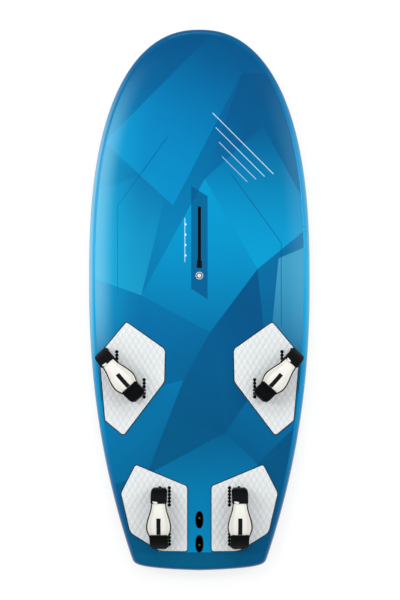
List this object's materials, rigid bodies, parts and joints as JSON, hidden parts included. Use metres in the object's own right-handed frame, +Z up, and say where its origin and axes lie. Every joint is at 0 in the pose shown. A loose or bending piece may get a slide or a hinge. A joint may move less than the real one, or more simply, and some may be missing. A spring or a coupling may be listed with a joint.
{
  "type": "windsurf board",
  "caption": "Wide, short windsurf board for foiling, with a mast track, a deep foil box, grooved deck pads and padded footstraps whose end covers peel open.",
  "frame": {"origin": "on the plane that the flat bottom rests on, under the middle of the overall length and width", "axes": "+Y runs from tail to nose, +X to starboard (the sailor's right, looking forward), +Z up from the bottom to the deck"},
  "size_m": [0.84, 2.05, 0.2024],
  "materials": {
    "core_foam": "closed-bead expanded polystyrene, hidden",
    "deck_laminate": null,
    "bottom_laminate": "lacquered bottom laminate, deep blue",
    "block_foam": "high-density structural foam, hidden",
    "box_plastic": "moulded black plastic",
    "vent_plastic": "moulded white plastic",
    "seal_rubber": "silicone O-ring",
    "insert_plastic": "moulded black plastic",
    "pad_dark": "closed-cell EVA foam, dark base layer",
    "pad_pale": "closed-cell EVA foam with diamond grooves, pale grey",
    "webbing": "woven polyester webbing, black",
    "lining": "neoprene with a knitted face, black",
    "cover_cream": "padded cover with a smooth face, off-white",
    "binding": "bound edge, black",
    "tab": "plain sewn strip, black",
    "flap_neoprene": "satin-faced neoprene end cover with hook-and-loop, black",
    "plate_plastic": "moulded anti-twist plate, black",
    "screw_steel": "stainless steel screws"
  },
  "bodies": {
    "board": {"foam_core": "core_foam", "deck_skin": "deck_laminate", "bottom_skin": "bottom_laminate", "mast_track_box": "box_plastic", "mast_track_block": "block_foam", "foil_box": "box_plastic", "foil_box_block": "block_foam", "vent_housing": "vent_plastic", "vent_seal": "seal_rubber", "front_left_inserts": "insert_plastic", "front_right_inserts": "insert_plastic", "rear_left_inserts": "insert_plastic", "rear_right_inserts": "insert_plastic", "front_left_pad_base": "pad_dark", "front_right_pad_base": "pad_dark", "rear_left_pad_base": "pad_dark", "rear_right_pad_base": "pad_dark", "front_left_pad": "pad_pale", "front_right_pad": "pad_pale", "rear_left_pad": "pad_pale", "rear_right_pad": "pad_pale", "front_left_webbing": "webbing", "front_right_webbing": "webbing", "rear_left_webbing": "webbing", "rear_right_webbing": "webbing", "front_left_lining": "lining", "front_right_lining": "lining", "rear_left_lining": "lining", "rear_right_lining": "lining", "front_left_cover": "cover_cream", "front_right_cover": "cover_cream", "rear_left_cover": "cover_cream", "rear_right_cover": "cover_cream", "front_left_binding": "binding", "front_right_binding": "binding", "rear_left_binding": "binding", "rear_right_binding": "binding", "front_left_tab": "tab", "front_right_tab": "tab", "rear_left_tab": "tab", "rear_right_tab": "tab", "front_left_plates": "plate_plastic", "front_right_plates": "plate_plastic", "rear_left_plates": "plate_plastic", "rear_right_plates": "plate_plastic", "front_left_screws": "screw_steel", "front_right_screws": "screw_steel", "rear_left_screws": "screw_steel", "rear_right_screws": "screw_steel"},
    "vent_screw": {"vent_screw": "vent_plastic"},
    "front_left_fore_flap": {"front_left_fore_flap": "flap_neoprene"},
    "front_left_aft_flap": {"front_left_aft_flap": "flap_neoprene"},
    "front_right_fore_flap": {"front_right_fore_flap": "flap_neoprene"},
    "front_right_aft_flap": {"front_right_aft_flap": "flap_neoprene"},
    "rear_left_fore_flap": {"rear_left_fore_flap": "flap_neoprene"},
    "rear_left_aft_flap": {"rear_left_aft_flap": "flap_neoprene"},
    "rear_right_fore_flap": {"rear_right_fore_flap": "flap_neoprene"},
    "rear_right_aft_flap": {"rear_right_aft_flap": "flap_neoprene"}
  },
  "joints": [
    {"name": "front_left_fore_flap_peel", "type": "hinge", "parent": "board", "child": "front_left_fore_flap", "pos_m": [-0.37307, -0.19245, 0.10472], "axis": [-0.7489, -0.6579, -0.0793], "range_deg": [0, 80]},
    {"name": "front_left_aft_flap_peel", "type": "hinge", "parent": "board", "child": "front_left_aft_flap", "pos_m": [-0.22235, -0.36574, 0.11886], "axis": [0.7489, 0.6579, 0.0793], "range_deg": [0, 80]},
    {"name": "front_right_fore_flap_peel", "type": "hinge", "parent": "board", "child": "front_right_fore_flap", "pos_m": [0.37307, -0.19245, 0.10472], "axis": [-0.7489, 0.6579, 0.0793], "range_deg": [0, 80]},
    {"name": "front_right_aft_flap_peel", "type": "hinge", "parent": "board", "child": "front_right_aft_flap", "pos_m": [0.22235, -0.36574, 0.11886], "axis": [0.7489, -0.6579, -0.0793], "range_deg": [0, 80]},
    {"name": "rear_left_fore_flap_peel", "type": "hinge", "parent": "board", "child": "rear_left_fore_flap", "pos_m": [-0.14981, -0.7072, 0.11908], "axis": [-0.9987, 0.0007, -0.0506], "range_deg": [0, 80]},
    {"name": "rear_left_aft_flap_peel", "type": "hinge", "parent": "board", "child": "rear_left_aft_flap", "pos_m": [-0.14981, -0.93727, 0.11572], "axis": [0.9987, -0.0007, 0.0506], "range_deg": [0, 80]},
    {"name": "rear_right_fore_flap_peel", "type": "hinge", "parent": "board", "child": "rear_right_fore_flap", "pos_m": [0.14981, -0.7072, 0.11908], "axis": [-0.9987, -0.0007, 0.0506], "range_deg": [0, 80]},
    {"name": "rear_right_aft_flap_peel", "type": "hinge", "parent": "board", "child": "rear_right_aft_flap", "pos_m": [0.14981, -0.93727, 0.11572], "axis": [0.9987, 0.0007, -0.0506], "range_deg": [0, 80]},
    {"name": "vent_turn", "type": "hinge", "parent": "board", "child": "vent_screw", "pos_m": [0, 0.095, 0.1053], "axis": [0, 0, 1], "range_deg": [0, 1080]}
  ]
}
